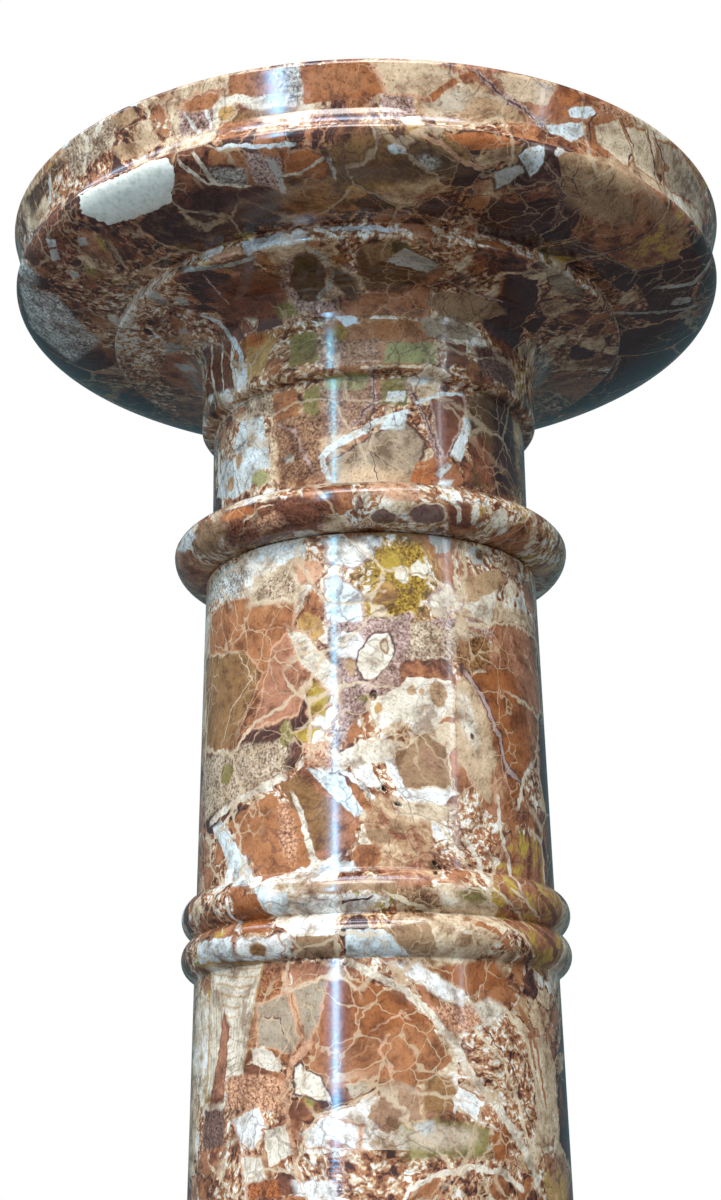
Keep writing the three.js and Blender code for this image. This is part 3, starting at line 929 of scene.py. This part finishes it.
lowerClasts = [  # shaft under the ring
    clast("rust", 256, 972, 290, 968, 282, 1000, 258, 1008, speckled=True),
    clast("rose", 285, 966, 330, 965, 330, 990, 292, 992),
    clast("amber", 318, 994, 363, 976, 427, 1018, 420, 1075, 316, 1062),
    clast("rust", 320, 1050, 427, 1020, 453, 1062, 411, 1092, 345, 1088),
    clast("rust", 302, 1060, 322, 1045, 345, 1050, 342, 1095, 330, 1092),
    clast("amber", 425, 965, 495, 962, 510, 985, 470, 992, soft=1.0),
    clast("ivory", 208, 968, 262, 965, 252, 1018, 243, 1080, 206, 1098, rim="honey", nested=7),
    clast("rose", 225, 1018, 229, 1032, 222, 1095, 211, 1098, rim="russet"),
    clast("stone", 258, 1007, 284, 999, 301, 1038, 289, 1053, 257, 1045, rim="peach"),
    clast("stone", 291, 991, 328, 981, 317, 1023, 307, 1041, rim="peach"),
    clast("white", 386, 962, 420, 962, 463, 990, 467, 1006, 436, 994, soft=0.8),
    blob("ivory", 488, 1012, 17, 13, soft=1.2),
    clast("peach", 428, 1004, 470, 1002, 485, 1022, 455, 1034, 438, 1026, speckled=True),
    clast("taupe", 391, 1080, 414, 1088, 422, 1117, 386, 1133, 368, 1117),
    clast("oat", 347, 1084, 366, 1080, 374, 1088, 356, 1098),
    clast("ivory", 293, 1066, 299, 1062, 320, 1074, 337, 1102, 296, 1091, rim="vein"),
    clast("white", 304, 1134, 331, 1117, 362, 1125, 362, 1149, 312, 1148, rim="peach"),
    blob("flame", 341, 1144, 10, 3, turn=-12, soft=1.2),
    clast("russet", 276, 1104, 300, 1100, 318, 1110, 300, 1122, 280, 1118, soft=0.8),
    clast("peach", 224, 1080, 262, 1072, 292, 1090, 286, 1116, 226, 1112, speckled=True),
    clast("russet", 244, 1066, 268, 1070, 270, 1076, 246, 1078, soft=0.5),
    clast("ivory", 250, 1048, 262, 1046, 281, 1066, 276, 1075, 252, 1066),
    clast("plum", 205, 1108, 222, 1110, 224, 1145, 204, 1150, speckled=True),
    clast("white", 232, 1122, 258, 1112, 270, 1135, 252, 1152, 238, 1144, rim="peach"),
    clast("ivory", 264, 1134, 290, 1125, 296, 1155, 270, 1168, rim="rust"),
    clast("ivory", 240, 1158, 262, 1160, 268, 1186, 246, 1184, rim="peach"),
    clast("olive", 402, 1126, 440, 1118, 488, 1130, 488, 1158, 405, 1160, soft=1.5),
    blob("oat", 440, 1138, 34, 13, soft=2.5), blob("dove", 425, 1128, 10, 8, soft=1.5),
    clast("brass", 424, 1082, 452, 1078, 460, 1100, 440, 1118, 424, 1108, soft=1.0),
    vein("white", 5, 459, 1094, 455, 1110), clast("amber", 491, 1128, 507, 1130, 508, 1162, 492, 1160, soft=0.8),
    blob("rust", 499, 1185, 10, 14, turn=15),
    clast("flame", 245, 1184, 278, 1180, 282, 1198, 246, 1198, speckled=True, soft=0.8),
    clast("white", 295, 1182, 336, 1178, 338, 1196, 296, 1198, soft=0.8), blob("rust", 425, 1193, 14, 7, soft=1.0),
    vein("peach", 5, 281, 975, 289, 1006, 302, 1040, 308, 1046),
    vein("peach", 6, 308, 1044, 290, 1062, 284, 1085, 288, 1114, 297, 1150, 300, 1180),
    vein("ivory", 9, 356, 966, 398, 987, 430, 1013, 454, 1042, 473, 1080, 502, 1117, 526, 1155, 537, 1184),
    vein("ivory", 6, 411, 1187, 438, 1176, 473, 1168, 502, 1173, 521, 1190),
    vein("cream", 4, 476, 1030, 500, 1062, 516, 1100, 524, 1130, 536, 1160),
    vein("vein", 1.5, 484, 1028, 506, 1060, 521, 1098, 530, 1130),
    vein("cream", 5, 506, 1010, 524, 1040, 534, 1080, 540, 1130), vein("rust", 5, 520, 1010, 536, 1050, 545, 1100),
    vein("peach", 3, 385, 1035, 376, 1050, 384, 1066, 392, 1080), vein("peach", 2.5, 370, 1030, 400, 1012, 408, 1020),
    vein("vein", 1, 262, 1018, 278, 1022, 282, 1034),
]

discClasts = [  # cap's band, from the left
    clast("umber", 24, 200, 60, 162, 66, 168, 34, 214, speckled=True),
    clast("oat", 63, 150, 120, 110, 112, 150, 72, 186, speckled=True),
    clast("fawn", 112, 122, 132, 108, 140, 118, 120, 132),
    clast("sand", 133, 136, 146, 127, 161, 140, 150, 151, 136, 151),
    clast("fawn", 111, 151, 138, 143, 147, 151, 121, 162), clast("ice", 124, 108, 137, 101, 136, 108),
    clast("mauve", 176, 106, 218, 104, 216, 128, 180, 136, speckled=True),
    clast("rust", 183, 99, 216, 86, 218, 99, 206, 108, 184, 108, rim="peach"),
    clast("rust", 226, 74, 272, 66, 281, 93, 228, 93),
    clast("dove", 274, 64, 297, 62, 302, 103, 288, 105, speckled=True),
    clast("amber", 300, 66, 345, 63, 378, 64, 392, 100, 303, 106), blob("rust", 340, 83, 30, 15, soft=4.0),
    clast("ivory", 240, 98, 278, 93, 281, 105, 255, 112, soft=0.6),
    clast("brass", 228, 112, 300, 106, 300, 114, 230, 122, soft=0.8), blob("honey", 227, 111, 8, 8, rim="cream"),
    vein("ivory", 7, 217, 118, 216, 105, 225, 97, 250, 96), vein("peach", 3, 175, 105, 193, 93, 224, 87),
    vein("ivory", 6, 104, 117, 101, 128, 96, 138), vein("ivory", 5, 80, 132, 88, 142, 87, 158, 84, 174),
    vein("ice", 6, 66, 139, 64, 150), vein("ice", 6, 50, 182, 50, 198), vein("white", 4, 186, 114, 200, 130),
    vein("white", 4, 206, 110, 213, 124),
    # fascia, to the right
    clast("mauve", 382, 96, 416, 94, 420, 114, 388, 118, speckled=True),
    clast("sand", 377, 65, 425, 63, 457, 74, 437, 97, 391, 95, rim="peach"),
    clast("fawn", 420, 108, 473, 78, 515, 109, 522, 124, 440, 122), blob("oat", 450, 100, 22, 12, turn=25, soft=3.0),
    clast("sand", 488, 71, 553, 82, 562, 94, 546, 108, 505, 98),
    clast("flame", 537, 118, 556, 88, 602, 102, 572, 113, 552, 125),
    clast("ice", 567, 110, 590, 107, 597, 117, 583, 122, 570, 120, rim="rust"),
    clast("ice", 545, 128, 580, 125, 584, 138, 572, 144, 548, 134),
    clast("peach", 598, 103, 622, 110, 630, 120, 600, 116, speckled=True),
    clast("cream", 594, 129, 617, 121, 633, 159, 627, 169, 597, 146, rim="rust"),
    clast("cream", 624, 128, 643, 131, 660, 181, 636, 168, rim="rust"),
    clast("oat", 656, 142, 680, 150, 704, 196, 704, 218, 668, 186, rim="rust"), blob("brass", 667, 167, 3, 4),
    vein("amber", 6, 433, 98, 446, 86, 456, 78, 474, 69),
    vein("mauve", 7, 474, 70, 485, 81, 499, 96, 520, 108, 536, 122, 542, 129, speckled=True),
    vein("vein", 2, 475, 71, 486, 82, 500, 97, 521, 109, 541, 128), vein("vein", 2, 596, 116, 588, 126, 590, 142),
    vein("vein", 1.8, 621, 122, 632, 148, 629, 168), vein("vein", 1.6, 646, 131, 653, 158, 660, 187),
    vein("vein", 1.6, 653, 134, 665, 162, 664, 184),
    # quarter round
    clast("maroon", 190, 196, 270, 184, 290, 215, 215, 238, soft=2.0),
    clast("umber", 330, 150, 430, 140, 470, 175, 340, 185, soft=3.0), blob("brass", 375, 150, 40, 12, soft=4.0),
    clast("russet", 33, 232, 60, 205, 75, 225, 62, 262, 36, 268, speckled=True),
    clast("rust", 210, 150, 238, 146, 244, 165, 212, 165),
    clast("mauve", 246, 152, 284, 156, 280, 188, 256, 184, speckled=True),
    clast("flame", 285, 150, 310, 146, 330, 160, 325, 176, 288, 172, rim="russet"),
    clast("dove", 208, 168, 246, 168, 248, 186, 214, 184, speckled=True),
    vein("ice", 4, 222, 148, 240, 146, 266, 146, 293, 142), vein("ivory", 4, 180, 162, 192, 172, 208, 184),
    vein("ivory", 5, 196, 154, 205, 168, 214, 182), vein("ivory", 4, 213, 184, 230, 186, 248, 187),
    vein("ivory", 4, 285, 173, 304, 170, 323, 157), vein("dove", 4, 330, 158, 334, 168, 336, 178),
    vein("dove", 6, 272, 160, 280, 172, 284, 190), clast("ice", 391, 146, 399, 143, 409, 147, 407, 153, 394, 153),
    blob("dove", 431, 162, 10, 7, speckled=True, turn=-30, soft=2.0),
    vein("peach", 5, 420, 134, 444, 142, 459, 160, 478, 171),
    clast("flame", 444, 132, 480, 131, 520, 143, 506, 151, 470, 150),
    clast("clay", 490, 150, 524, 146, 516, 166, 488, 163),
    clast("dove", 494, 173, 520, 166, 526, 173, 498, 190, rim="umber"),
    clast("fawn", 557, 151, 620, 164, 645, 190, 600, 200, 562, 186),
    clast("taupe", 618, 165, 680, 216, 690, 244, 640, 204, soft=1.5),
    blob("clay", 600, 205, 42, 16, turn=-20, soft=6.0),
    vein("plum", 9, 546, 162, 556, 178, 560, 198, 554, 222, speckled=True),
    vein("vein", 1.4, 548, 162, 562, 182, 560, 202, 552, 226),
    vein("vein", 1.1, 578, 170, 572, 184, 578, 198, 604, 190, 614, 176),
    vein("vein", 1.1, 530, 190, 556, 196, 580, 200),
    clast("ice", 518, 159, 532, 147, 545, 150, 546, 164, 532, 178, rim="umber"), blob("white", 560, 153, 5, 4),
    clast("ice", 46, 240, 56, 241, 57, 248, 49, 249), clast("dove", 78, 240, 86, 239, 88, 246, 80, 248),
    clast("dove", 49, 252, 57, 250, 60, 259, 53, 262), clast("dove", 68, 271, 77, 272, 79, 277, 70, 276),
    vein("peach", 2, 36, 200, 40, 215, 47, 218, 60, 204),
    clast("ice", 14, 215, 28, 232, 36, 272, 32, 300, 14, 270, speckled=True, soft=1.5),
    clast("ice", 20, 280, 56, 296, 96, 340, 70, 360, 30, 325, speckled=True, soft=2.0),
    vein("dove", 7, 662, 288, 693, 284, 708, 266), vein("dove", 5, 614, 313, 650, 312, 692, 308),
    blob("dove", 682, 302, 9, 4),
]

undersideClasts = [  # riser of the step, and the flat underside
    clast("ice", 242, 240, 284, 232, 277, 243, 248, 253), clast("peach", 206, 258, 240, 244, 244, 251, 214, 263),
    vein("ice", 6, 330, 230, 360, 229, 390, 231),
    clast("umber", 355, 250, 400, 240, 440, 270, 395, 290, 362, 285, soft=1.5),
    clast("russet", 205, 290, 250, 268, 290, 280, 285, 312, 222, 322, soft=2.0),
    blob("umber", 307, 276, 17, 22, rim="plum"), blob("umber", 345, 280, 10, 16, turn=20, soft=1.5),
    blob("olive", 288, 309, 13, 7, soft=1.5), clast("clay", 360, 244, 394, 243, 392, 258, 372, 264, soft=1.0),
    clast("dove", 386, 261, 405, 248, 437, 264, 423, 273),
    clast("clay", 420, 303, 440, 290, 490, 293, 508, 314, 452, 322),
    clast("stone", 540, 262, 566, 270, 580, 300, 556, 292, soft=1.5),
    vein("dove", 5, 306, 247, 322, 256, 331, 270, 331, 284, 320, 296),
    vein("mauve", 8, 290, 262, 284, 285, 300, 305, 330, 306, speckled=True),
    vein("mauve", 2, 203, 276, 214, 288, 226, 304), vein("mauve", 2, 430, 285, 448, 280, 470, 290, 500, 300),
    clast("dove", 146, 293, 156, 291, 170, 303, 163, 306), clast("dove", 175, 298, 188, 300, 189, 307, 180, 306),
    clast("dove", 178, 328, 185, 328, 188, 334, 180, 334), clast("dove", 163, 342, 178, 343, 187, 350, 170, 353),
    clast("dove", 175, 363, 190, 366, 200, 374, 183, 372),
    vein("putty", 6, 184, 271, 205, 268, 228, 265, 254, 258, soft=0.5),
] + capPitsWithPaintedShade

neckClasts = [  # band under the cove
    clast("russet", 203, 352, 228, 340, 236, 385, 206, 400, speckled=True),
    vein("ivory", 4, 213, 352, 211, 370, 214, 392), vein("ivory", 3, 222, 346, 221, 366, 223, 388),
    vein("ivory", 4, 231, 346, 231, 364, 234, 382), clast("honey", 246, 336, 262, 329, 277, 336, 263, 372, 248, 376),
    blob("flame", 256, 337, 11, 7, soft=1.5), blob("amber", 277, 364, 7, 8, soft=0.8),
    clast("olive", 290, 334, 312, 330, 317, 362, 290, 368, soft=0.6), blob("mustard", 338, 332, 8, 8, soft=0.8),
    clast("taupe", 330, 342, 376, 337, 380, 364, 332, 367, speckled=True),
    clast("ice", 334, 314, 352, 314, 360, 322, 346, 325), blob("rust", 384, 331, 12, 11),
    clast("sage", 384, 347, 394, 343, 434, 346, 434, 366, 384, 362), vein("cream", 3, 362, 367, 400, 366, 440, 370),
    clast("stone", 417, 320, 452, 317, 480, 330, 470, 341, 425, 338),
    clast("russet", 444, 343, 464, 345, 468, 366, 446, 368),
    clast("plum", 474, 345, 510, 355, 516, 392, 480, 374, speckled=True),
    vein("ice", 6, 204, 318, 228, 336, 240, 352, 245, 379),
    # neck
    clast("taupe", 276, 420, 320, 410, 322, 478, 280, 486, speckled=True),
    clast("oat", 250, 394, 284, 388, 282, 414, 240, 420, speckled=True),
    clast("taupe", 320, 390, 374, 388, 372, 416, 322, 440, speckled=True, soft=1.5),
    clast("rust", 275, 392, 298, 388, 300, 416, 278, 420),
    clast("olive", 305, 389, 320, 386, 318, 416, 303, 412, soft=0.6),
    clast("sage", 322, 377, 369, 372, 366, 388, 324, 391, soft=0.6),
    clast("olive", 382, 379, 408, 377, 408, 406, 382, 404), clast("ice", 387, 391, 406, 389, 405, 401, 388, 402),
    clast("ice", 409, 386, 418, 378, 434, 378, 426, 387),
    clast("stone", 330, 466, 370, 438, 408, 424, 425, 441, 420, 484, rim="vein"),
    clast("stone", 332, 462, 420, 455, 419, 486, 330, 486), blob("sand", 378, 480, 42, 13, soft=5.0),
    blob("peach", 392, 486, 26, 6, soft=3.0),
    clast("russet", 432, 400, 462, 397, 466, 413, 445, 458, 438, 440, rim="mauve"),
    clast("flame", 418, 462, 436, 458, 440, 478, 418, 484, soft=0.6),
    clast("ice", 450, 455, 468, 417, 474, 421, 461, 462), clast("ice", 436, 474, 446, 463, 452, 466, 442, 478),
    clast("ice", 441, 481, 454, 479, 453, 488, 442, 488),
    clast("umber", 470, 400, 494, 394, 512, 410, 510, 496, 472, 488, soft=2.0),
    blob("russet", 484, 462, 10, 26, soft=2.5), clast("maroon", 495, 398, 522, 404, 519, 494, 497, 490, soft=2.5),
    clast("ice", 243, 421, 264, 415, 272, 466, 242, 476, 235, 450, soft=0.5),
    clast("ice", 225, 462, 262, 462, 260, 482, 236, 498, 217, 498, soft=0.5), blob("fawn", 240, 462, 3, 8, soft=0.6),
    blob("oat", 252, 440, 2.5, 10, soft=0.6), blob("fawn", 232, 484, 3, 8, soft=0.6),
    blob("sage", 262, 478, 9, 8, soft=1.0), vein("ice", 8, 323, 458, 331, 449, 349, 439, 367, 429),
    vein("ice", 7, 364, 430, 376, 422, 390, 416, 407, 412),
    clast("ice", 386, 417, 408, 411, 406, 430, 382, 430, soft=0.6), vein("ice", 5, 322, 457, 325, 468, 330, 478),
    vein("mauve", 6, 371, 372, 376, 398, 362, 416, 352, 426, speckled=True),
    vein("mauve", 7, 409, 386, 420, 406, 430, 430, 438, 456, speckled=True),
    vein("vein", 1.1, 371, 373, 376, 398, 354, 425), vein("vein", 1.4, 409, 384, 422, 408, 432, 434, 440, 456),
    vein("vein", 1.0, 376, 400, 372, 420, 369, 448, 380, 480), vein("vein", 0.8, 370, 449, 384, 460, 398, 469),
    vein("ice", 4, 419, 402, 440, 396, 461, 396), vein("mauve", 3, 281, 424, 296, 432, 303, 450, 312, 470),
    blob("dove", 290, 458, 5, 5, soft=0.8),
    # collar
    clast("clay", 192, 533, 206, 520, 226, 516, 222, 550, 196, 556, soft=1.0),
    clast("ice", 177, 548, 190, 526, 196, 536, 184, 552, soft=0.8),
    clast("russet", 226, 508, 300, 494, 330, 500, 320, 530, 230, 548, speckled=True),
    blob("flame", 240, 511, 20, 5, turn=14, soft=1.5),
    clast("peach", 255, 520, 275, 512, 290, 525, 262, 535, speckled=True), blob("russet", 300, 510, 16, 9, soft=1.5),
    blob("peach", 405, 495, 20, 6, soft=1.2), clast("ivory", 359, 491, 370, 491, 364, 509),
    blob("plum", 384, 516, 12, 8, rim="cream"), blob("plum", 427, 514, 17, 10, rim="cream"),
    clast("russet", 446, 500, 470, 503, 470, 528, 448, 525, soft=0.8), vein("ivory", 5, 450, 500, 458, 508, 459, 520),
    blob("ivory", 476, 513, 4, 11), blob("ivory", 501, 519, 8, 11, turn=-15),
    vein("cream", 3, 488, 505, 492, 518, 488, 532), vein("peach", 2, 520, 512, 530, 522, 534, 534),
    vein("cream", 2, 245, 520, 258, 508, 272, 503),
]


# How each stone looks: where it starts in the patterns, how light and ragged it is, and what runs over its clasts
def lookOf(start, light, ragged, pale, dark, banding, specks):
    return {"start": start, "light": light, "ragged": ragged, "pale": pale, "dark": dark, "banding": banding,
            "specks": specks}


shaftLook = lookOf((0.0, 0.0, 0.0), light=-0.03, ragged=3.6 * mm, pale=0.8, dark=0.45, banding=0.3, specks=0.6)
capLook = lookOf((0.35, 0.1, 0.0), light=-0.1, ragged=3.2 * mm, pale=0.5, dark=0.55, banding=0.2, specks=0.9)
baseLook = lookOf((0.1, 0.4, 0.3), light=-0.05, ragged=2 * mm, pale=0.5, dark=0.6, banding=0.4, specks=0.6)
plinthLook = lookOf((0.7, 0.2, 0.5), light=-0.02, ragged=2 * mm, pale=0.5, dark=0.6, banding=0.4, specks=0.6)


# Zones: bands by height in millimetres, and patches by middle and half sizes in the photo
def band(foot, head, **rest):
    return {"foot": foot, "head": head, **rest}


def patch(x, y, wide, tall, **rest):
    return {"x": x, "y": y, "wide": wide, "tall": tall, **rest}


shaftBands = [band(900, 930, light=0.12, rubble=0.2), band(744, 780, rubble=0.15)]
shaftSpots = [
    patch(395, 580, 40, 45, light=0.05, ochre=0.9, rubble=0.5),
    patch(420, 820, 90, 60, light=0.14, rubble=0.1),
    patch(420, 710, 60, 45, light=0.2),
    patch(240, 1150, 50, 50, light=0.02, rubble=0.3),
    patch(400, 1050, 50, 40, light=-0.15),
    patch(500, 1080, 45, 90, light=0.06, rubble=0.45),
    patch(380, 1175, 110, 35, rubble=0.5),
]
capBands = [
    band(1050, 1069.5, light=-0.34),
    band(1026, 1042.8, light=-0.01, rubble=0.1),
    # Riser of the step: paler stone, and also a painted highlight that stands in for the gloss along it
    band(1043, 1050.8, light=0.3, rubble=0.3),
    band(999, 1027, light=0.1, ochre=0.12, rubble=0.25),
    band(948, 1000, light=-0.04, rubble=0.15),
    band(920, 948, light=0.27, rubble=0.05),
]
capSpots = [
    patch(400, 160, 70, 30, ochre=0.5),
    patch(320, 190, 60, 25, light=-0.05, ochre=0.3),
    patch(240, 460, 35, 40, light=0.2),
    patch(75, 300, 55, 60, light=0.22, rubble=0.35),
    patch(165, 340, 45, 55, light=0.24, rubble=0.3),
    patch(560, 300, 60, 40, light=-0.12),
]

# The two upper stones are cut into bays for their materials: rows by height in millimetres, columns by azimuth
shaftRows = {"lowest": (500, 690), "low": (690, 744.5), "ring": (744.5, 779.7), "middle": (779.7, 815),
             "upper": (815, 868), "high": (868, 930)}
capRows = {"collar": (920, 948.2), "neck": (948.2, 1000), "band": (1000, 1026), "underside": (1026, 1043),
           "round": (1043, 1070), "rim": (1070, 1101)}
bayColumns = {"left": (-110, -30), "middle_left": (-30, 4), "middle_right": (4, 32), "right": (32, 110)}


# Every bay of a stone, row by row
def baysOf(rows):
    return [{"name": f"{row}_{column}", "foot": foot, "head": head, "start": first, "end": last}
            for row, (foot, head) in rows.items() for column, (first, last) in bayColumns.items()]


markZones(shaft, shaftBands, shaftSpots)
markZones(capital, capBands, capSpots)
markZones(base)
markZones(plinth)
marble(shaft, shaftLook)
for bay in baysOf(shaftRows):
    marble(shaft, shaftLook, upperClasts + ringClasts + lowerClasts, bay)
marble(capital, capLook)
for bay in baysOf(capRows):
    marble(capital, capLook, discClasts + undersideClasts + neckClasts, bay)
marble(base, baseLook)
marble(plinth, plinthLook)
print("marble on every stone")

# Floor, plain: pale to the eye, and dimmer in the light that it throws back
floorSizes = {"half": 3.0, "grey": 0.6, "dim": 0.16, "roughness": 0.7}
floorBm = bmesh.new()
bmesh.ops.create_grid(floorBm, x_segments=2, y_segments=2, size=floorSizes["half"])
floorMesh = bpy.data.meshes.new("floor")
floorBm.to_mesh(floorMesh)
floorBm.free()
floor = bpy.data.objects.new("floor", floorMesh)
scene.collection.objects.link(floor)
floorMaterial, floorTree, floorShader = newMaterial("pale_floor")
floorSeen = put(floorTree, "ShaderNodeLightPath").outputs["Is Camera Ray"]
feed(floorTree, floorShader["Base Color"],
     blend(floorTree, floorSeen, opaque(floorSizes["dim"]), opaque(floorSizes["grey"])))
floorShader["Roughness"].default_value = floorSizes["roughness"]
floorMesh.materials.append(floorMaterial)

# Soft lights, aimed high on the column: the azimuth turns from the camera's side towards +X, and the distance from
# the axis, the height and the two sizes are in metres
lampAim = Vector((0, 0, 0.95))


def softLight(name, azimuth, away, height, wide, tall, power, tint):
    data = bpy.data.lights.new(name, "AREA")
    data.shape = "RECTANGLE"
    data.size, data.size_y, data.energy, data.color = wide, tall, power, tint
    lamp = bpy.data.objects.new(name, data)
    lamp.location = (away * sin(radians(azimuth)), -away * cos(radians(azimuth)), height)
    lamp.rotation_euler = (lampAim - lamp.location).to_track_quat("-Z", "Y").to_euler()
    scene.collection.objects.link(lamp)


softLight("window", -25, 3.0, 1.22, wide=0.2, tall=0.62, power=15, tint=(0.18, 0.55, 1.0))
softLight("window_top", -25, 3.0, 2.1, wide=0.14, tall=1.1, power=13, tint=(0.2, 0.68, 1.0))
softLight("window_core", -25, 3.0, 1.3, wide=0.035, tall=0.75, power=1.7, tint=(0.75, 0.85, 1.0))
softLight("side", 52, 3.0, 1.7, wide=0.1, tall=1.2, power=5, tint=(0.75, 0.86, 1.0))
softLight("front", -12, 3.0, 3.15, wide=2.5, tall=0.9, power=106, tint=(1.0, 0.95, 0.93))
softLight("sky_front", -5, 1.5, 3.3, wide=2.6, tall=0.5, power=54, tint=(0.64, 0.76, 1.0))
softLight("sky_left", -85, 1.8, 3.0, wide=2.4, tall=0.3, power=12, tint=(0.58, 0.76, 1.0))

# The background is white to the eye; as light it is dimmer, and darkest behind the column
world = bpy.data.worlds.new("studio")
scene.world = world
world.use_nodes = True
sky = world.node_tree
background = next(n for n in sky.nodes if n.type == "BACKGROUND")
seen = put(sky, "ShaderNodeLightPath").outputs["Is Camera Ray"]
roomLight = {"behind": Vector((0.35, 0.93, 0.0)), "from": -0.7, "to": 0.5, "front": opaque(0.64, 0.62, 0.60),
             "back": opaque(0.08, 0.155, 0.18)}
away = vectors(sky, "DOT_PRODUCT", put(sky, "ShaderNodeTexCoord").outputs["Generated"], roomLight["behind"])
room = blend(sky, smooth(sky, away, roomLight["from"], roomLight["to"]), roomLight["front"], roomLight["back"])
feed(sky, background.inputs["Color"], blend(sky, seen, room, opaque(1.0)))
print("lights and floor set")
